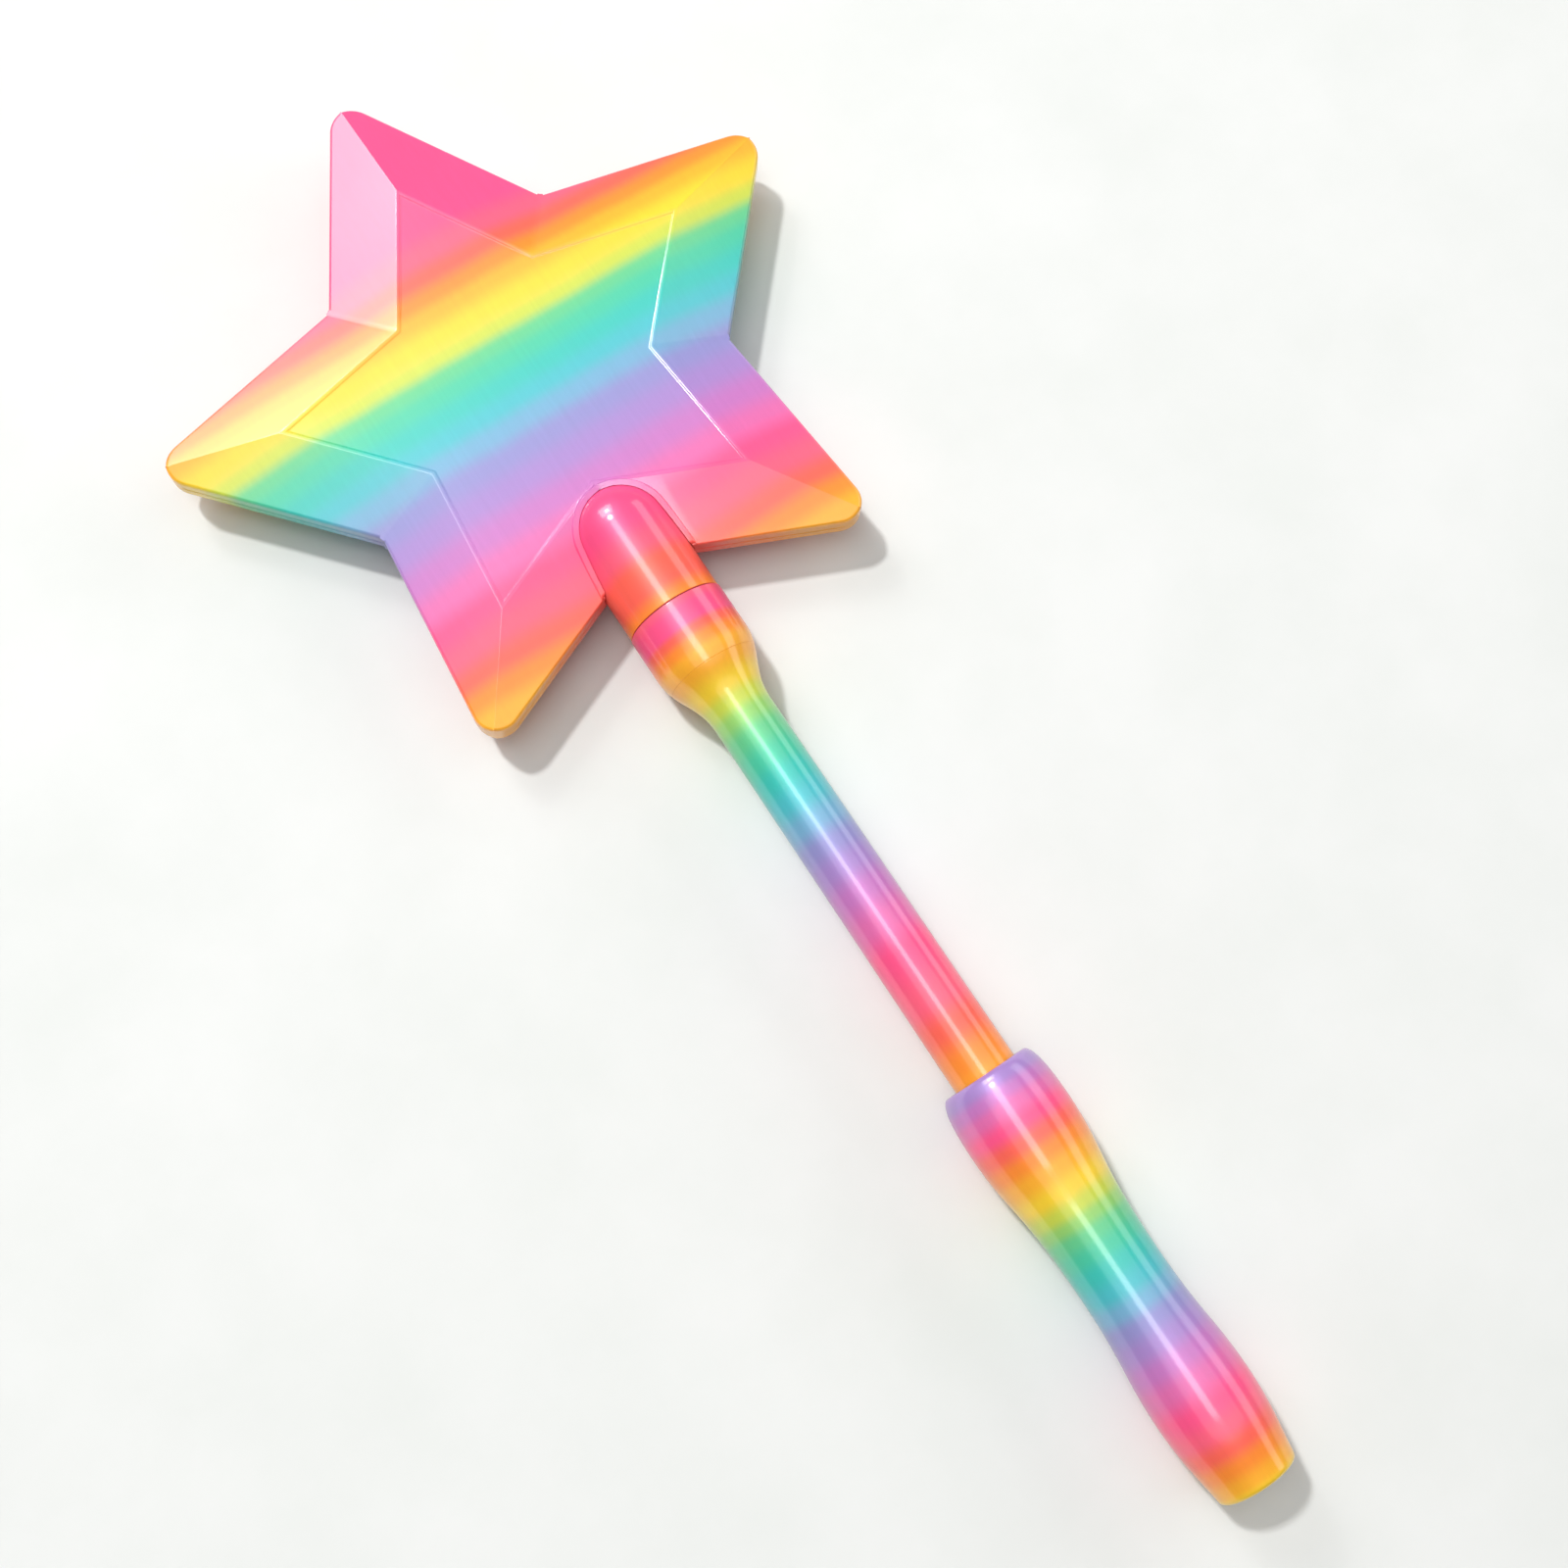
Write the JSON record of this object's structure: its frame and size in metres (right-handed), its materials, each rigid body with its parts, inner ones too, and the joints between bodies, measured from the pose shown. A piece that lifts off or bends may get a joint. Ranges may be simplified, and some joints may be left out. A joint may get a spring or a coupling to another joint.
{
  "type": "star wand",
  "caption": "Star-headed toy wand: hollow bevelled star on a swivel socket, tapered stick, and a waisted grip that the stick slides into.",
  "frame": {"origin": "centre of the bounding box's bottom: halfway along the wand, on the ground that the grip's belly rests on", "axes": "+Y along the stick from the grip's butt to the star's top arm; +Z out of the star's front face, +X to the right seen from the front"},
  "size_m": [0.1614, 0.3774, 0.0254],
  "materials": {
    "star_shell": "pearl plastic, rainbow gradient along the wand",
    "socket": "pearl plastic, pink to orange",
    "collar": "pearl plastic, pink to orange",
    "stick": "pearl plastic, rainbow gradient along the stick",
    "grip": "pearl plastic, rainbow gradient along the grip",
    "grip_mouth": "lilac pearl plastic",
    "grip_end": "yellow pearl plastic",
    "bearing_plastic": "natural acetal",
    "washer_nylon": "dusty red nylon",
    "steel": "plain zinc-plated steel",
    "seal_rubber": "nitrile rubber"
  },
  "bodies": {
    "head": {"star_front_shell": "star_shell", "star_back_shell": "star_shell", "head_socket": "socket", "shell_screws": "steel", "swivel_bush": "bearing_plastic"},
    "stick": {"collar_ring": "collar", "flared_shaft": "stick", "swivel_spindle": "bearing_plastic", "spindle_clip": "steel", "thrust_washer": "washer_nylon", "tail_stop": "bearing_plastic", "tail_o_ring": "seal_rubber"},
    "grip": {"grip_shell": "grip", "mouth_bush": "grip_mouth", "butt_cap": "grip_end"}
  },
  "joints": [
    {"name": "head_swivel", "type": "hinge", "parent": "head", "child": "stick", "pos_m": [0, 0.03762, 0.0127], "axis": [0, 1, 0], "continuous": true},
    {"name": "shaft_slide", "type": "slide", "parent": "stick", "child": "grip", "axis": [0, 1, 0], "range_m": [0, 0.072]}
  ]
}
